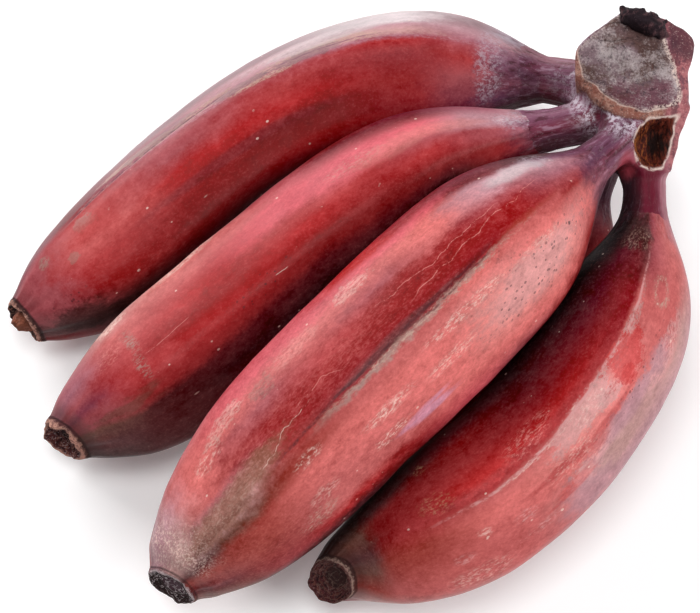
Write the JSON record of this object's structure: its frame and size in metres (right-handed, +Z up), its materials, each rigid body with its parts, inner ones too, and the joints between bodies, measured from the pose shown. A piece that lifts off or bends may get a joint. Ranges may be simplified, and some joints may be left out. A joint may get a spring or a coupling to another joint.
{
  "type": "red banana cluster",
  "caption": "Cluster of red bananas joined at one piece of crown with a dried, dished cut face, lying on a surface with its hollow side down.",
  "frame": {"origin": "middle of the bounding box at the level of the surface that the cluster lies on", "axes": "+Z up, +X along the longest side, from the blossom tips towards the crown; the crown is at +X, +Y and most of the blossom tips point to -X, -Y"},
  "size_m": [0.1947, 0.1834, 0.073],
  "materials": {
    "crown_skin": "dry, fibrous, matte",
    "red_peel": "waxy satin, with scuffs and specks"
  },
  "bodies": {
    "root": {"crown": "crown_skin", "banana_1": "red_peel", "banana_2": "red_peel", "banana_3": "red_peel", "banana_4": "red_peel", "banana_5": "red_peel"}
  },
  "joints": []
}
